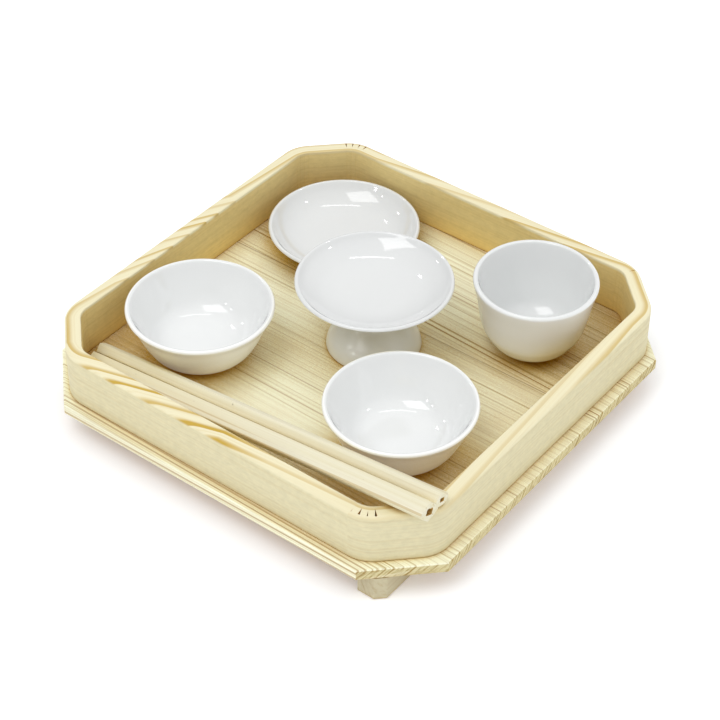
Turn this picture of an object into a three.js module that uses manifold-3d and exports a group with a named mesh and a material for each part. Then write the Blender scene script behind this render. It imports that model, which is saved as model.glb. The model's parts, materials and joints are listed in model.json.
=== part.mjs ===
// Footed offering tray in plain white wood, with five porcelain dishes and two hollow hemp-stalk chopsticks.
// Sizes are in millimetres. X runs to the right along the front edge, Y to the back and Z up.
// The origin is at the middle of the footprint, on the ground under the feet.

import * as THREE from 'three';
import { mergeVertices } from 'three/addons/utils/BufferGeometryUtils.js';
import Module from 'manifold-3d';

// Base board
const boardWidth = 210;
const boardDepth = 208;
const boardThickness = 5.2;
const boardCornerCut = 26.2;
const boardEdgeEase = 0.4;

// Lip of the board that shows outside the rim
const sideLip = 4.4;
const frontLip = 3.4;
const cornerLip = 2.55;

// Bent rim
const rimWall = 7;
const rimHeight = 24.2;
const rimBendRadius = 9;
const rimOuterRound = 1.9;
const rimInnerRound = 0.6;
const rimFootEase = 0.3;
const rimShiftX = -0.9;
const rimShiftY = 1.3;

// Kerfs that stay open in the rim's wall after bending
const kerfsPerBend = 4;
const kerfSpread = 8.8;
const kerfSkin = 1.3;
const kerfDepth = 3.9;
const kerfMouth = 0.95;

// Runner feet
const footHeight = 12.1;
const footWidth = 12;
const footSideInset = 17.2;
const footFrontInset = 5.2;
const footBackInset = 15;
const footEdgeEase = 0.5;

// Bamboo pegs
const pegRadius = 0.9;
const pegTipRadius = 0.55;
const pegTipLength = 2;
const pegClearance = 0.3;
const pegHeadRecess = 0.3;
const rimPegGrip = 10;
const rimPegOffset = 55;
const footPegGrip = 3;
const footPegOffset = 66;

// Rice bowl and soup bowl, thrown to one pattern
const bowlRadius = 32.6;
const bowlHeight = 25.5;
const bowlLip = 1.15;

// Deep cup
const cupRadius = 28;
const cupHeight = 38;
const cupLip = 1.2;

// Shallow dish
const dishRadius = 35.2;
const dishHeight = 14;
const dishLip = 1;

// Stemmed dish
const stemmedRadius = 34.7;
const stemmedHeight = 36;
const stemmedLip = 1;

// Chopsticks: the left end rests on the board, the right end on the rim
const nearStickRadius = 4.9;
const nearStickBore = 2.5;
const nearStickLeftGap = 10.1;
const nearStickOverhang = 8.5;
const farStickRadius = 3.6;
const farStickBore = 1.9;
const farStickLeftGap = 6.3;
const farStickOverhang = 6.6;
const stickFrontGapLeft = 8.1;
const stickFrontGapRight = 1.4;
const stickSpreadLeft = 0.6;
const stickSpreadRight = 2.5;
const stickRestGap = 0.15;
const stickRidgeShare = 0.035;
const stickTaperShare = 0.03;

// Free widths from the dishes to the rim and to the far chopstick, which the rice bowl's lip stands over
const riceBowlLeftGap = 5.4;
const riceBowlStickGap = -4.8;
const soupBowlRightGap = 10.4;
const soupBowlStickGap = 1.2;
const deepCupRightGap = 8.5;
const deepCupBackGap = 15.1;
const shallowDishLeftGap = 6.6;
const shallowDishBackGap = 2.9;

// Place of the stemmed dish from the middle of the board
const stemmedDishRight = 0.2;
const stemmedDishBack = 10.5;

// Overrun of the cutting shapes past the faces they cut
const cutOverrun = 1;

// Number of flats and steps
const dishSegments = 40;
const pegSegments = 10;
const stickFlats = 14;
const stickRings = 7;
const bendSteps = 5;
const roundSteps = 3;

// Shares of a dish's radius and height, from the foot ring outwards and up
const bowlFootShares = [[0, 0.09], [0.3, 0.085], [0.4, 0.06], [0.425, 0], [0.482, 0], [0.492, 0.066]];
const bowlOuterShares = [[0.565, 0.075], [0.65, 0.13], [0.72, 0.22], [0.8, 0.4], [0.868, 0.6], [0.934, 0.8]];
const bowlInnerShares = [
  [0.87, 0.8], [0.8, 0.62], [0.725, 0.44], [0.64, 0.3], [0.52, 0.21], [0.3, 0.17], [0, 0.165],
];

const cupFootShares = [[0, 0.07], [0.24, 0.068], [0.32, 0.045], [0.338, 0], [0.388, 0], [0.4, 0.045]];
const cupOuterShares = [
  [0.457, 0.053], [0.55, 0.095], [0.671, 0.171], [0.761, 0.271],
  [0.829, 0.371], [0.889, 0.579], [0.939, 0.789],
];
const cupInnerShares = [
  [0.879, 0.83], [0.829, 0.62], [0.754, 0.42], [0.657, 0.25], [0.493, 0.155], [0.3, 0.122], [0, 0.115],
];

const dishFootShares = [[0, 0.17], [0.36, 0.16], [0.44, 0.13], [0.455, 0], [0.5, 0], [0.51, 0.13]];
const dishOuterShares = [[0.6, 0.16], [0.72, 0.29], [0.84, 0.51], [0.94, 0.76]];
const dishInnerShares = [[0.89, 0.76], [0.8, 0.55], [0.7, 0.41], [0.56, 0.31], [0.35, 0.275], [0, 0.27]];

const stemHollowShares = [
  [0, 0.46], [0.14, 0.45], [0.22, 0.38], [0.32, 0.27], [0.44, 0.17], [0.53, 0.06], [0.54, 0],
];
const stemFootShares = [
  [0.6, 0], [0.61, 0.035], [0.575, 0.147], [0.515, 0.23], [0.42, 0.32], [0.325, 0.415],
];
const stemNeckShares = [
  [0.278, 0.52], [0.32, 0.6], [0.46, 0.67], [0.64, 0.735], [0.8, 0.82], [0.93, 0.92],
];
const stemPlateShares = [
  [0.9, 0.94], [0.8, 0.875], [0.66, 0.81], [0.46, 0.765], [0.24, 0.752], [0, 0.75],
];

// Heights and angles that follow from the sizes above
const boardBottom = footHeight;
const boardTop = boardBottom + boardThickness;
const rimTop = boardTop + rimHeight;
const bendAngle = Math.PI / 4;
const halfBend = bendAngle / 2;
const fullTurn = Math.PI * 2;
const quarterTurn = Math.PI / 2;
const sideCount = 8;

// Distance of the board's corner cuts from its middle, as the sum of X and Y on them
const boardCornerSum = boardWidth / 2 + boardDepth / 2 - boardCornerCut;

// Inner faces of the rim
const rimHalfX = boardWidth / 2 - sideLip - rimWall;
const rimHalfY = boardDepth / 2 - frontLip - rimWall;
const rimCornerSum = boardCornerSum - (rimWall + cornerLip) * Math.SQRT2;
const rimInnerCornerCut = rimHalfX + rimHalfY - rimCornerSum;
const rimLeft = rimShiftX - rimHalfX;
const rimRight = rimShiftX + rimHalfX;
const rimFront = rimShiftY - rimHalfY;
const rimBack = rimShiftY + rimHalfY;

// Faces of the right runner, whose outer front corner is cut in line with the board's corner
const footOuterX = boardWidth / 2 - footSideInset;
const footInnerX = footOuterX - footWidth;
const footFrontY = boardDepth / 2 - footFrontInset;
const footBackY = boardDepth / 2 - footBackInset;
const footCornerCut = footOuterX + footFrontY - boardCornerSum;

// Ends of the chopsticks seen from above
const stickReach = nearStickRadius + farStickRadius;
const nearStickLeft = {
  x: rimLeft + nearStickLeftGap,
  y: rimFront + stickFrontGapLeft + nearStickRadius,
};
const nearStickRight = {
  x: rimRight + nearStickOverhang,
  y: rimFront + stickFrontGapRight + nearStickRadius,
};
const farStickLeft = {
  x: rimLeft + farStickLeftGap,
  y: nearStickLeft.y + stickReach + stickSpreadLeft,
};
const farStickRight = {
  x: rimRight + farStickOverhang,
  y: nearStickRight.y + stickReach + stickSpreadRight,
};

// Y of a bowl that stands behind the far chopstick
function behindStick(x, gap) {
  const share = (x - farStickLeft.x) / (farStickRight.x - farStickLeft.x);
  const stick = farStickLeft.y + share * (farStickRight.y - farStickLeft.y);
  return stick + farStickRadius + gap + bowlRadius;
}

// Where the dishes stand on the board
const riceBowlX = rimLeft + riceBowlLeftGap + bowlRadius;
const riceBowlAt = { x: riceBowlX, y: behindStick(riceBowlX, riceBowlStickGap) };
const soupBowlX = rimRight - soupBowlRightGap - bowlRadius;
const soupBowlAt = { x: soupBowlX, y: behindStick(soupBowlX, soupBowlStickGap) };
const deepCupAt = { x: rimRight - deepCupRightGap - cupRadius, y: rimBack - deepCupBackGap - cupRadius };
const shallowDishX = rimLeft + shallowDishLeftGap + dishRadius;
const shallowDishAt = { x: shallowDishX, y: rimBack - shallowDishBackGap - dishRadius };
const stemmedDishAt = { x: stemmedDishRight, y: stemmedDishBack };

const wasm = await Module();
wasm.setup();

// Turns a list of faces on shared points into a closed, unmerged geometry
function solidFrom(points, triangles) {
  const geometry = new THREE.BufferGeometry();
  geometry.setAttribute('position', new THREE.Float32BufferAttribute(points.flat(), 3));
  geometry.setIndex(triangles.flat());
  return geometry;
}

// Joins rings of equal length into a closed body and caps its two ends
function loft(rings) {
  const count = rings[0].length;
  const points = rings.flat();
  const triangles = [];
  for (let ring = 0; ring < rings.length - 1; ring += 1) {
    for (let i = 0; i < count; i += 1) {
      const next = (i + 1) % count;
      const low = ring * count;
      const high = low + count;
      triangles.push([low + i, low + next, high + next]);
      triangles.push([low + i, high + next, high + i]);
    }
  }
  const outline = rings[0].map(([x, y]) => new THREE.Vector2(x, y));
  const last = (rings.length - 1) * count;
  THREE.ShapeUtils.triangulateShape(outline, []).forEach(([a, b, c]) => {
    triangles.push([c, b, a]);
    triangles.push([last + a, last + b, last + c]);
  });
  return solidFrom(points, triangles);
}

// Joins rings into a closed loop of rings, as a hoop is
function hoop(rings) {
  const count = rings[0].length;
  const triangles = [];
  rings.forEach((unused, ring) => {
    const here = ring * count;
    const there = ((ring + 1) % rings.length) * count;
    for (let i = 0; i < count; i += 1) {
      const next = (i + 1) % count;
      triangles.push([here + i, here + next, there + next]);
      triangles.push([here + i, there + next, there + i]);
    }
  });
  return solidFrom(rings.flat(), triangles);
}

// Gives a geometry to the boolean kernel as a solid
function toSolid(geometry) {
  const bare = new THREE.BufferGeometry();
  bare.setAttribute('position', geometry.getAttribute('position'));
  if (geometry.index) {
    bare.setIndex(geometry.index);
  }
  const merged = mergeVertices(bare);
  return new wasm.Manifold(new wasm.Mesh({
    numProp: 3,
    vertProperties: new Float32Array(merged.attributes.position.array),
    triVerts: new Uint32Array(merged.index.array),
  }));
}

// Cuts a list of geometries out of another and returns what is left
function cutAway(geometry, cutters) {
  let solid = toSolid(geometry);
  cutters.forEach((cutter) => {
    solid = solid.subtract(toSolid(cutter));
  });
  const mesh = solid.getMesh();
  const result = new THREE.BufferGeometry();
  const positions = [];
  for (let i = 0; i < mesh.vertProperties.length; i += mesh.numProp) {
    positions.push(mesh.vertProperties[i], mesh.vertProperties[i + 1], mesh.vertProperties[i + 2]);
  }
  result.setAttribute('position', new THREE.Float32BufferAttribute(positions, 3));
  result.setIndex(Array.from(mesh.triVerts));
  return result;
}

// Octagon with equal corner cuts, anticlockwise seen from above
function octagon(halfX, halfY, cut, z) {
  return [
    [halfX - cut, -halfY, z],
    [halfX, -halfY + cut, z],
    [halfX, halfY - cut, z],
    [halfX - cut, halfY, z],
    [-halfX + cut, halfY, z],
    [-halfX, halfY - cut, z],
    [-halfX, -halfY + cut, z],
    [-halfX + cut, -halfY, z],
  ];
}

// Upright round cutter for a peg's hole
function pegHole(at, low, high) {
  const radius = pegRadius + pegClearance;
  const geometry = new THREE.CylinderGeometry(radius, radius, high - low, pegSegments);
  geometry.rotateX(quarterTurn);
  geometry.translate(at.x, at.y, (low + high) / 2);
  return geometry;
}

// A peg driven up from below, with a flat head and a tapered tip
function peg(at, low, high) {
  const shoulder = high - pegTipLength;
  const outline = [[0, low], [pegRadius, low], [pegRadius, shoulder], [pegTipRadius, high], [0, high]];
  return lathe(outline, pegSegments, at, 0);
}

// Turned body from an outline that starts and ends on the axis
function lathe(outline, segments, at, base) {
  const points = outline.map(([r, z]) => new THREE.Vector2(r, z));
  const geometry = new THREE.LatheGeometry(points, segments);
  geometry.rotateX(quarterTurn);
  geometry.translate(at.x, at.y, base);
  return geometry;
}

// Rounded lip: an arc over the top of the wall from its outer to its inner side
function lipArc(radius, height, lip) {
  const arc = [];
  const steps = roundSteps * 2;
  for (let i = 0; i <= steps; i += 1) {
    const angle = (Math.PI * i) / steps;
    arc.push([radius - lip + lip * Math.cos(angle), height - lip + lip * Math.sin(angle)]);
  }
  return arc;
}

// Scales shares of radius and height to sizes
function scaled(shares, radius, height) {
  return shares.map(([r, z]) => [r * radius, z * height]);
}

// Porcelain dish from its foot, outer wall, lip and inner wall
function dish(parts, radius, height, lip, at) {
  const [foot, outer, inner] = parts;
  const outline = [
    ...scaled(foot, radius, height),
    ...scaled(outer, radius, height),
    ...lipArc(radius, height, lip),
    ...scaled(inner, radius, height),
  ];
  return lathe(outline, dishSegments, at, boardTop);
}

// Angle of the outward normal of each side, starting with the front one
function sideAngle(side) {
  return -quarterTurn + side * bendAngle;
}

// Inner corner points of the rim, one between each side and the next
const rimCorners = octagon(rimHalfX, rimHalfY, rimInnerCornerCut, 0);

// Centre of the arc at a bend, which lies inside the tray
function bendCentre(bend) {
  const [x, y] = rimCorners[bend];
  const angle = sideAngle(bend) + halfBend;
  const reach = rimBendRadius / Math.cos(halfBend);
  return [x + rimShiftX - reach * Math.cos(angle), y + rimShiftY - reach * Math.sin(angle)];
}

// A point of the wall at a bend: an angle round the bend and a distance out from the inner face
function wallPoint(bend, angle, out, z) {
  const [cx, cy] = bendCentre(bend);
  const reach = rimBendRadius + out;
  return [cx + reach * Math.cos(angle), cy + reach * Math.sin(angle), z];
}

// Section of the rim as distance out from the inner face and height, clockwise
function rimSection() {
  const section = [
    [rimFootEase, boardTop],
    [rimWall - rimFootEase, boardTop],
    [rimWall, boardTop + rimFootEase],
  ];
  for (let i = 0; i <= roundSteps; i += 1) {
    const angle = (quarterTurn * i) / roundSteps;
    section.push([
      rimWall - rimOuterRound + rimOuterRound * Math.cos(angle),
      rimTop - rimOuterRound + rimOuterRound * Math.sin(angle),
    ]);
  }
  section.push([rimInnerRound, rimTop]);
  section.push([0, rimTop - rimInnerRound]);
  section.push([0, boardTop + rimFootEase]);
  return section.reverse();
}

// The strip bent round all eight corners, before the open kerfs and the peg holes are cut
function rimBlank() {
  const section = rimSection();
  const rings = [];
  for (let bend = 0; bend < sideCount; bend += 1) {
    for (let step = 0; step <= bendSteps; step += 1) {
      const angle = sideAngle(bend) + (bendAngle * step) / bendSteps;
      rings.push(section.map(([out, z]) => wallPoint(bend, angle, out, z)));
    }
  }
  return hoop(rings);
}

// One kerf: shut at its mouth on the inner side and open towards the outer skin
function kerf(bend, index) {
  const middle = rimBendRadius + rimWall / 2;
  const spread = kerfSpread / middle;
  const share = index / (kerfsPerBend - 1) - 1 / 2;
  const angle = sideAngle(bend) + halfBend + spread * share;
  const outer = rimWall - kerfSkin;
  const halfAngle = kerfMouth / 2 / (rimBendRadius + outer);
  const corners = [
    wallPoint(bend, angle, outer - kerfDepth, 0),
    wallPoint(bend, angle - halfAngle, outer, 0),
    wallPoint(bend, angle + halfAngle, outer, 0),
  ];
  const low = boardTop - cutOverrun;
  const high = rimTop + cutOverrun;
  return loft([low, high].map((z) => corners.map(([x, y]) => [x, y, z])));
}

// Bends whose kerfs stay open: front right and back left, all of them, and one kerf of the back right
const frontRightBend = 0;
const backRightBend = 3;
const backLeftBend = 4;
const openKerfs = [];
for (let index = 0; index < kerfsPerBend; index += 1) {
  openKerfs.push(kerf(frontRightBend, index));
  openKerfs.push(kerf(backLeftBend, index));
}
openKerfs.push(kerf(backRightBend, 1));

// Pegs of the rim: two on each long side, in the middle of the wall
const rimPegs = [];
[-1, 1].forEach((end) => {
  [-1, 1].forEach((side) => {
    const along = end * rimPegOffset;
    rimPegs.push({ x: along + rimShiftX, y: side * (rimHalfY + rimWall / 2) + rimShiftY });
    rimPegs.push({ x: side * (rimHalfX + rimWall / 2) + rimShiftX, y: along + rimShiftY });
  });
});
const rimPegLow = boardBottom + pegHeadRecess;
const rimPegHigh = boardTop + rimPegGrip;

// Pegs of the feet: three through each runner into the board
const footMiddleX = footOuterX - footWidth / 2;
const footMiddleY = (footBackY - footFrontY) / 2;
const footPegs = [-1, 0, 1].map((row) => ({ x: footMiddleX, y: footMiddleY + row * footPegOffset }));
const footPegHigh = boardBottom + footPegGrip;

// Turns a place on the right half half a turn round the middle of the tray
function turnedRound(at) {
  return { x: -at.x, y: -at.y };
}

// Outline of the right runner, drawn in by a distance for its eased edges
function footOutline(inset, z) {
  const left = footInnerX + inset;
  const right = footOuterX - inset;
  const front = -footFrontY + inset;
  const back = footBackY - inset;
  const cut = footCornerCut;
  return [
    [left, front, z],
    [right - cut, front, z],
    [right, front + cut, z],
    [right, back, z],
    [left, back, z],
  ];
}

// Right runner with its outer front corner cut in line with the board's corner
function rightFoot() {
  const blank = loft([
    footOutline(footEdgeEase, 0),
    footOutline(0, footEdgeEase),
    footOutline(0, boardBottom),
  ]);
  return cutAway(blank, footPegs.map((at) => pegHole(at, -cutOverrun, boardBottom + cutOverrun)));
}

// Board with eased edges, holes right through for the rim's pegs and blind ones for the feet's
function baseBoard() {
  const ring = (inset, z) => octagon(boardWidth / 2 - inset, boardDepth / 2 - inset, boardCornerCut, z);
  const blank = loft([
    ring(boardEdgeEase, boardBottom),
    ring(0, boardBottom + boardEdgeEase),
    ring(0, boardTop - boardEdgeEase),
    ring(boardEdgeEase, boardTop),
  ]);
  const footHoles = [...footPegs, ...footPegs.map(turnedRound)];
  return cutAway(blank, [
    ...rimPegs.map((at) => pegHole(at, boardBottom - cutOverrun, boardTop + cutOverrun)),
    ...footHoles.map((at) => pegHole(at, boardBottom - cutOverrun, footPegHigh + pegClearance)),
  ]);
}

// Rim with its open kerfs and blind peg holes
function bentRim() {
  return cutAway(rimBlank(), [
    ...openKerfs,
    ...rimPegs.map((at) => pegHole(at, boardTop - cutOverrun, rimPegHigh + pegClearance)),
  ]);
}

// Ends of a stick's axis, from a left end on the board and a rest on the rim's inner top edge
function stickEnds(left, right, radius) {
  const crossing = stickCrossing(left, right);
  const run = Math.hypot(right.x - left.x, right.y - left.y);
  const slope = rimHeight / (run * crossing);
  const leftHeight = radius / Math.hypot(1, slope) + stickRestGap;
  const restHeight = rimHeight + radius * Math.hypot(1, slope) + stickRestGap;
  const rightHeight = leftHeight + (restHeight - leftHeight) / crossing;
  return [
    new THREE.Vector3(left.x, left.y, boardTop + leftHeight),
    new THREE.Vector3(right.x, right.y, boardTop + rightHeight),
  ];
}

// Share of a stick's run at which it passes the rim's inner face, at the cut corner or at the right side
function stickCrossing(left, right) {
  const sideShare = (rimRight - left.x) / (right.x - left.x);
  const cornerSum = rimCornerSum + rimShiftX - rimShiftY;
  const cornerShare = (cornerSum - (left.x - left.y)) / (right.x - left.x - (right.y - left.y));
  return Math.min(sideShare, cornerShare);
}

// Hollow stalk between two points, with faint ridges along it and a slight taper to the left
function hempStick(left, right, radius, bore) {
  const [start, end] = stickEnds(left, right, radius);
  const along = new THREE.Vector3().subVectors(end, start).normalize();
  const side = new THREE.Vector3(0, 0, 1).cross(along).normalize();
  const up = new THREE.Vector3().crossVectors(along, side);
  const ringAt = (share, size, ridges) => {
    const centre = new THREE.Vector3().lerpVectors(start, end, share);
    const ring = [];
    for (let i = 0; i < stickFlats; i += 1) {
      const angle = (fullTurn * i) / stickFlats;
      const ridge = ridges && i % 2 ? 1 - stickRidgeShare : 1;
      const point = centre.clone();
      point.addScaledVector(side, size * ridge * Math.cos(angle));
      point.addScaledVector(up, size * ridge * Math.sin(angle));
      ring.push(point.toArray());
    }
    return ring;
  };
  const outer = [];
  const inner = [];
  for (let i = 0; i < stickRings; i += 1) {
    const share = i / (stickRings - 1);
    const taper = 1 - stickTaperShare * (1 - share);
    outer.push(ringAt(share, radius * taper, true));
    inner.push(ringAt(share, bore * taper, false));
  }
  return hoop([...outer, ...inner.reverse()]);
}

const wood = {
  board: { color: 0xe2cf98, roughness: 0.62, metalness: 0 },
  rim: { color: 0xeadcae, roughness: 0.6, metalness: 0 },
  foot: { color: 0xd9c793, roughness: 0.65, metalness: 0 },
};
const bamboo = { color: 0xc9a868, roughness: 0.55, metalness: 0 };
const hemp = { color: 0xefe6c9, roughness: 0.75, metalness: 0 };
const porcelain = { color: 0xf6f6f3, roughness: 0.12, metalness: 0 };

const tray = new THREE.Group();
tray.name = 'offering_tray';

// Adds a named piece with its own material
function add(name, geometry, finish) {
  const mesh = new THREE.Mesh(geometry, new THREE.MeshStandardMaterial(finish));
  mesh.name = name;
  geometry.computeVertexNormals();
  tray.add(mesh);
}

const foot = rightFoot();
const leftFoot = foot.clone();
leftFoot.rotateZ(Math.PI);

add('base_board', baseBoard(), wood.board);
add('bent_rim', bentRim(), wood.rim);
add('foot_right', foot, wood.foot);
add('foot_left', leftFoot, wood.foot);

rimPegs.forEach((at, index) => {
  add(`rim_peg_${index + 1}`, peg(at, rimPegLow, rimPegHigh), bamboo);
});
footPegs.forEach((at, index) => {
  add(`foot_peg_right_${index + 1}`, peg(at, pegHeadRecess, footPegHigh), bamboo);
  add(`foot_peg_left_${index + 1}`, peg(turnedRound(at), pegHeadRecess, footPegHigh), bamboo);
});

const bowlParts = [bowlFootShares, bowlOuterShares, bowlInnerShares];
const cupParts = [cupFootShares, cupOuterShares, cupInnerShares];
const dishParts = [dishFootShares, dishOuterShares, dishInnerShares];
const stemmedParts = [[...stemHollowShares, ...stemFootShares], stemNeckShares, stemPlateShares];

add('rice_bowl', dish(bowlParts, bowlRadius, bowlHeight, bowlLip, riceBowlAt), porcelain);
add('soup_bowl', dish(bowlParts, bowlRadius, bowlHeight, bowlLip, soupBowlAt), porcelain);
add('deep_cup', dish(cupParts, cupRadius, cupHeight, cupLip, deepCupAt), porcelain);
add('shallow_dish', dish(dishParts, dishRadius, dishHeight, dishLip, shallowDishAt), porcelain);
add('stemmed_dish', dish(stemmedParts, stemmedRadius, stemmedHeight, stemmedLip, stemmedDishAt), porcelain);
add('chopstick_near', hempStick(nearStickLeft, nearStickRight, nearStickRadius, nearStickBore), hemp);
add('chopstick_far', hempStick(farStickLeft, farStickRight, farStickRadius, farStickBore), hemp);

export default tray;
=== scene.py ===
import json
import math

import bpy
from mathutils import Matrix, Quaternion, Vector


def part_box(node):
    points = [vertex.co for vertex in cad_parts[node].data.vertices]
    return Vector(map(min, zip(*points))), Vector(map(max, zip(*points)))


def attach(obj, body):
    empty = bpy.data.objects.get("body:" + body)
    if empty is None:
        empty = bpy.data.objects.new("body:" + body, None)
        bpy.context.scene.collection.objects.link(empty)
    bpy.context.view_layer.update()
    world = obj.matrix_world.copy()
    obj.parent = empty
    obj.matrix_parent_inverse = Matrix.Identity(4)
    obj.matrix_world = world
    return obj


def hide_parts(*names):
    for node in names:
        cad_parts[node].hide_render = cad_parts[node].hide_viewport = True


# Footed offering tray in plain white wood, with five porcelain dishes and two hollow hemp-stalk chopsticks.
# Lengths are in metres in the frame of the model: X to the right, Y to the back, Z up from the ground.

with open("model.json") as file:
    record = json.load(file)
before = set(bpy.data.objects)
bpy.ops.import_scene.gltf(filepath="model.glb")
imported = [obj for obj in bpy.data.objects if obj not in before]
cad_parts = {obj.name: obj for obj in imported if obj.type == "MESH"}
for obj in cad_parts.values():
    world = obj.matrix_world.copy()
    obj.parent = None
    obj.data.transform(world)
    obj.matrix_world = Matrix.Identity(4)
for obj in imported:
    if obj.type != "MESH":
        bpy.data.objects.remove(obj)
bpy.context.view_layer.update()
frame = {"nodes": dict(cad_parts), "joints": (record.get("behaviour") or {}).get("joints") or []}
nodes = frame["nodes"]

MM = 0.001
QUARTER = math.pi / 2
BEND = math.pi / 4

# Camera, as solved from the photograph
IMAGE_PIXELS = 720
FOCAL_PIXELS = 2019.7
SENSOR = 36.0
CAMERA_AZIMUTH = math.radians(37.38)
CAMERA_ELEVATION = math.radians(40.77)
CAMERA_ROLL = math.radians(0.5)
CAMERA_DISTANCE = 885.3 * MM
CAMERA_TARGET = (2.73 * MM, -2.72 * MM)

# Sky: its brightest side, the cosines between which it fades, and its two strengths
SKY_SIDE = (0.25, 0.2, 1.0)
SKY_SPREAD = (0.0, 1.1)
SKY_LOW = 0.55
SKY_HIGH = 1.1

# Lights and floor: a window that lights the piece, and a strip and lamps that only show in the glaze
WINDOW_PLACE = (-0.15, -0.82, 1.5)
WINDOW_SIZE = (1.0, 0.9)
WINDOW_POWER = 7.8
WINDOW_TURN = math.radians(55)
STRIP_PLACE = (-0.10, 0.25, 1.5)
STRIP_SIZE = (0.8, 0.07)
STRIP_POWER = 1.0
STRIP_TURN = math.radians(14)
LAMP_WAYS = ((-0.24, -0.84, 0.48), (-0.46, -0.68, 0.57), (-0.83, -0.2, 0.5), (0.6, 0.36, 0.72), (-0.63, 0.23, 0.74))
LAMP_DISTANCE = 2
LAMP_SIZE = (0.09, 0.09)
LAMP_POWER = 0.9
FLOOR_REACH = 6.0
FLOOR_GLOW = 0.2
FLOOR_ROUGHNESS = 0.9
FLOOR_SHINE = 0.2
FLOOR_TONES = ((247, 250, 253), (249, 252, 254))

# Bent rim
RIM_WALL = 7 * MM
RIM_CORNER_CUT = 17.9 * MM
RIM_BEND_RADIUS = 9 * MM
RIM_OUTER_ROUND = 1.9 * MM
RIM_INNER_ROUND = 0.6 * MM
RIM_FOOT_EASE = 0.3 * MM
RIM_SIDES = 8
RIM_BEND_STEPS = 12
RIM_SIDE_STEPS = 10
RIM_ROUND_STEPS = 5
RIM_SHARP = math.radians(38)

# Kerfs in the rim: how far each one of a bend is open, as a share of the full mouth and depth, and the hairline that a
# shut one leaves
KERFS = 4
KERF_SPREAD = 8.8 * MM
KERF_SKIN = 1.3 * MM
KERF_DEPTH = 3.9 * MM
KERF_MOUTH = 0.95 * MM
KERF_OVERRUN = 1 * MM
KERF_OPEN_SHARES = {
    0: (0.22, 0.95, 0.55, 1.0),
    3: (0.0, 0.6, 0.0, 0.0),
    4: (0.9, 0.8, 0.75, 0.85),
}
KERF_LEAST_DEPTH_SHARE = 0.35
KERF_LINE_DEPTH = 0.07 * MM
KERF_LINE_HALF = 0.14 * MM
KERF_LINE_CLEAR = 1.5

# Dishes: shares of the radius and the height, from the foot outwards and up
DISH_SEGMENTS = 128
DISH_WOBBLE_SHARE = 0.0012
DISH_WOBBLE_TURN = 0.7
CURVE_STEPS = 5
LIP_STEPS = 10
LIP_TURN = math.radians(140)
BOWL_LIP = 1.15 * MM
CUP_LIP = 1.2 * MM
PLATE_LIP = 1.0 * MM
GROUND_REACH = 0.3 * MM
BOWL_FOOT = (
    (0, 0.09), (0.3, 0.085), (0.395, 0.06), (0.42, 0.012), (0.43, 0), (0.476, 0), (0.484, 0.012), (0.492, 0.066))
BOWL_OUTER = ((0.492, 0.066), (0.565, 0.075), (0.65, 0.13), (0.72, 0.22), (0.8, 0.4), (0.868, 0.6), (0.934, 0.8))
BOWL_INNER = ((0.87, 0.8), (0.8, 0.62), (0.725, 0.44), (0.64, 0.3), (0.52, 0.21), (0.3, 0.17), (0, 0.165))
CUP_FOOT = (
    (0, 0.07), (0.24, 0.068), (0.32, 0.045), (0.332, 0.008), (0.342, 0), (0.384, 0), (0.392, 0.01), (0.4, 0.045))
CUP_OUTER = (
    (0.4, 0.045), (0.457, 0.053), (0.55, 0.095), (0.671, 0.171), (0.761, 0.271), (0.829, 0.371), (0.889, 0.579),
    (0.939, 0.789))
CUP_INNER = ((0.879, 0.83), (0.829, 0.62), (0.754, 0.42), (0.657, 0.25), (0.493, 0.155), (0.3, 0.122), (0, 0.115))
CUP_OVAL_SHARE = 0.025
CUP_LONG_AXIS = math.radians(-52.6)
DISH_FOOT = ((0, 0.17), (0.36, 0.16), (0.44, 0.13), (0.452, 0.02), (0.46, 0), (0.494, 0), (0.502, 0.02), (0.51, 0.13))
DISH_OUTER = ((0.51, 0.13), (0.6, 0.16), (0.72, 0.29), (0.84, 0.51), (0.94, 0.76))
DISH_INNER = ((0.89, 0.76), (0.8, 0.55), (0.7, 0.41), (0.56, 0.31), (0.35, 0.275), (0, 0.27))
STEM_HOLLOW = (
    (0, 0.46), (0.14, 0.45), (0.22, 0.38), (0.32, 0.27), (0.44, 0.17), (0.525, 0.06), (0.535, 0.006), (0.541, 0))
STEM_FOOT = ((0.595, 0), (0.608, 0.012), (0.61, 0.035), (0.575, 0.147), (0.515, 0.23), (0.42, 0.32), (0.325, 0.415))
STEM_NECK = ((0.278, 0.52), (0.32, 0.6), (0.46, 0.67), (0.64, 0.735), (0.8, 0.82), (0.93, 0.92))
STEM_PLATE = ((0.9, 0.94), (0.8, 0.875), (0.66, 0.81), (0.46, 0.765), (0.24, 0.752), (0, 0.75))

# Chopsticks: flats, ribs, a crease and a squarish bore, which turn a little along the stalk
STICK_STEPS = 60
STICK_AROUND = 90
STICK_TAPER = 0.03
STICK_FLAT_SHARE = 0.72
STICK_ROUND_SIZE = 0.985
STICK_TWIST = 0.1
STICK_RIBS = 11
STICK_RIB_SIZE = 0.003
STICK_RIB_START = 1.3
STICK_RIB_TWIST = 2.0
CREASE_TURN = 0.78
CREASE_SIZE = 0.035
CREASE_WIDTH = 0.05
BORE_CORNERS = 4
BORE_CORNER_SIZE = 0.13
BORE_RIBS = 7
BORE_RIB_SIZE = 0.03
BORE_TWIST = 9
STICK_SLANT = 1.8 * MM
STICK_SLANT_SHARES = {0: 0.4, STICK_STEPS: -1.0}
STICK_END_EASE = 0.12 * MM
STICK_END_REACH = 0.2 * MM
STICK_SHARP = math.radians(50)
NEAR_BORE = 1.8 * MM
NEAR_FLAT = math.radians(118)
NEAR_FLATS = 4
FAR_BORE = 1.2 * MM
FAR_FLAT = math.radians(130)
FAR_FLATS = 5

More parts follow.
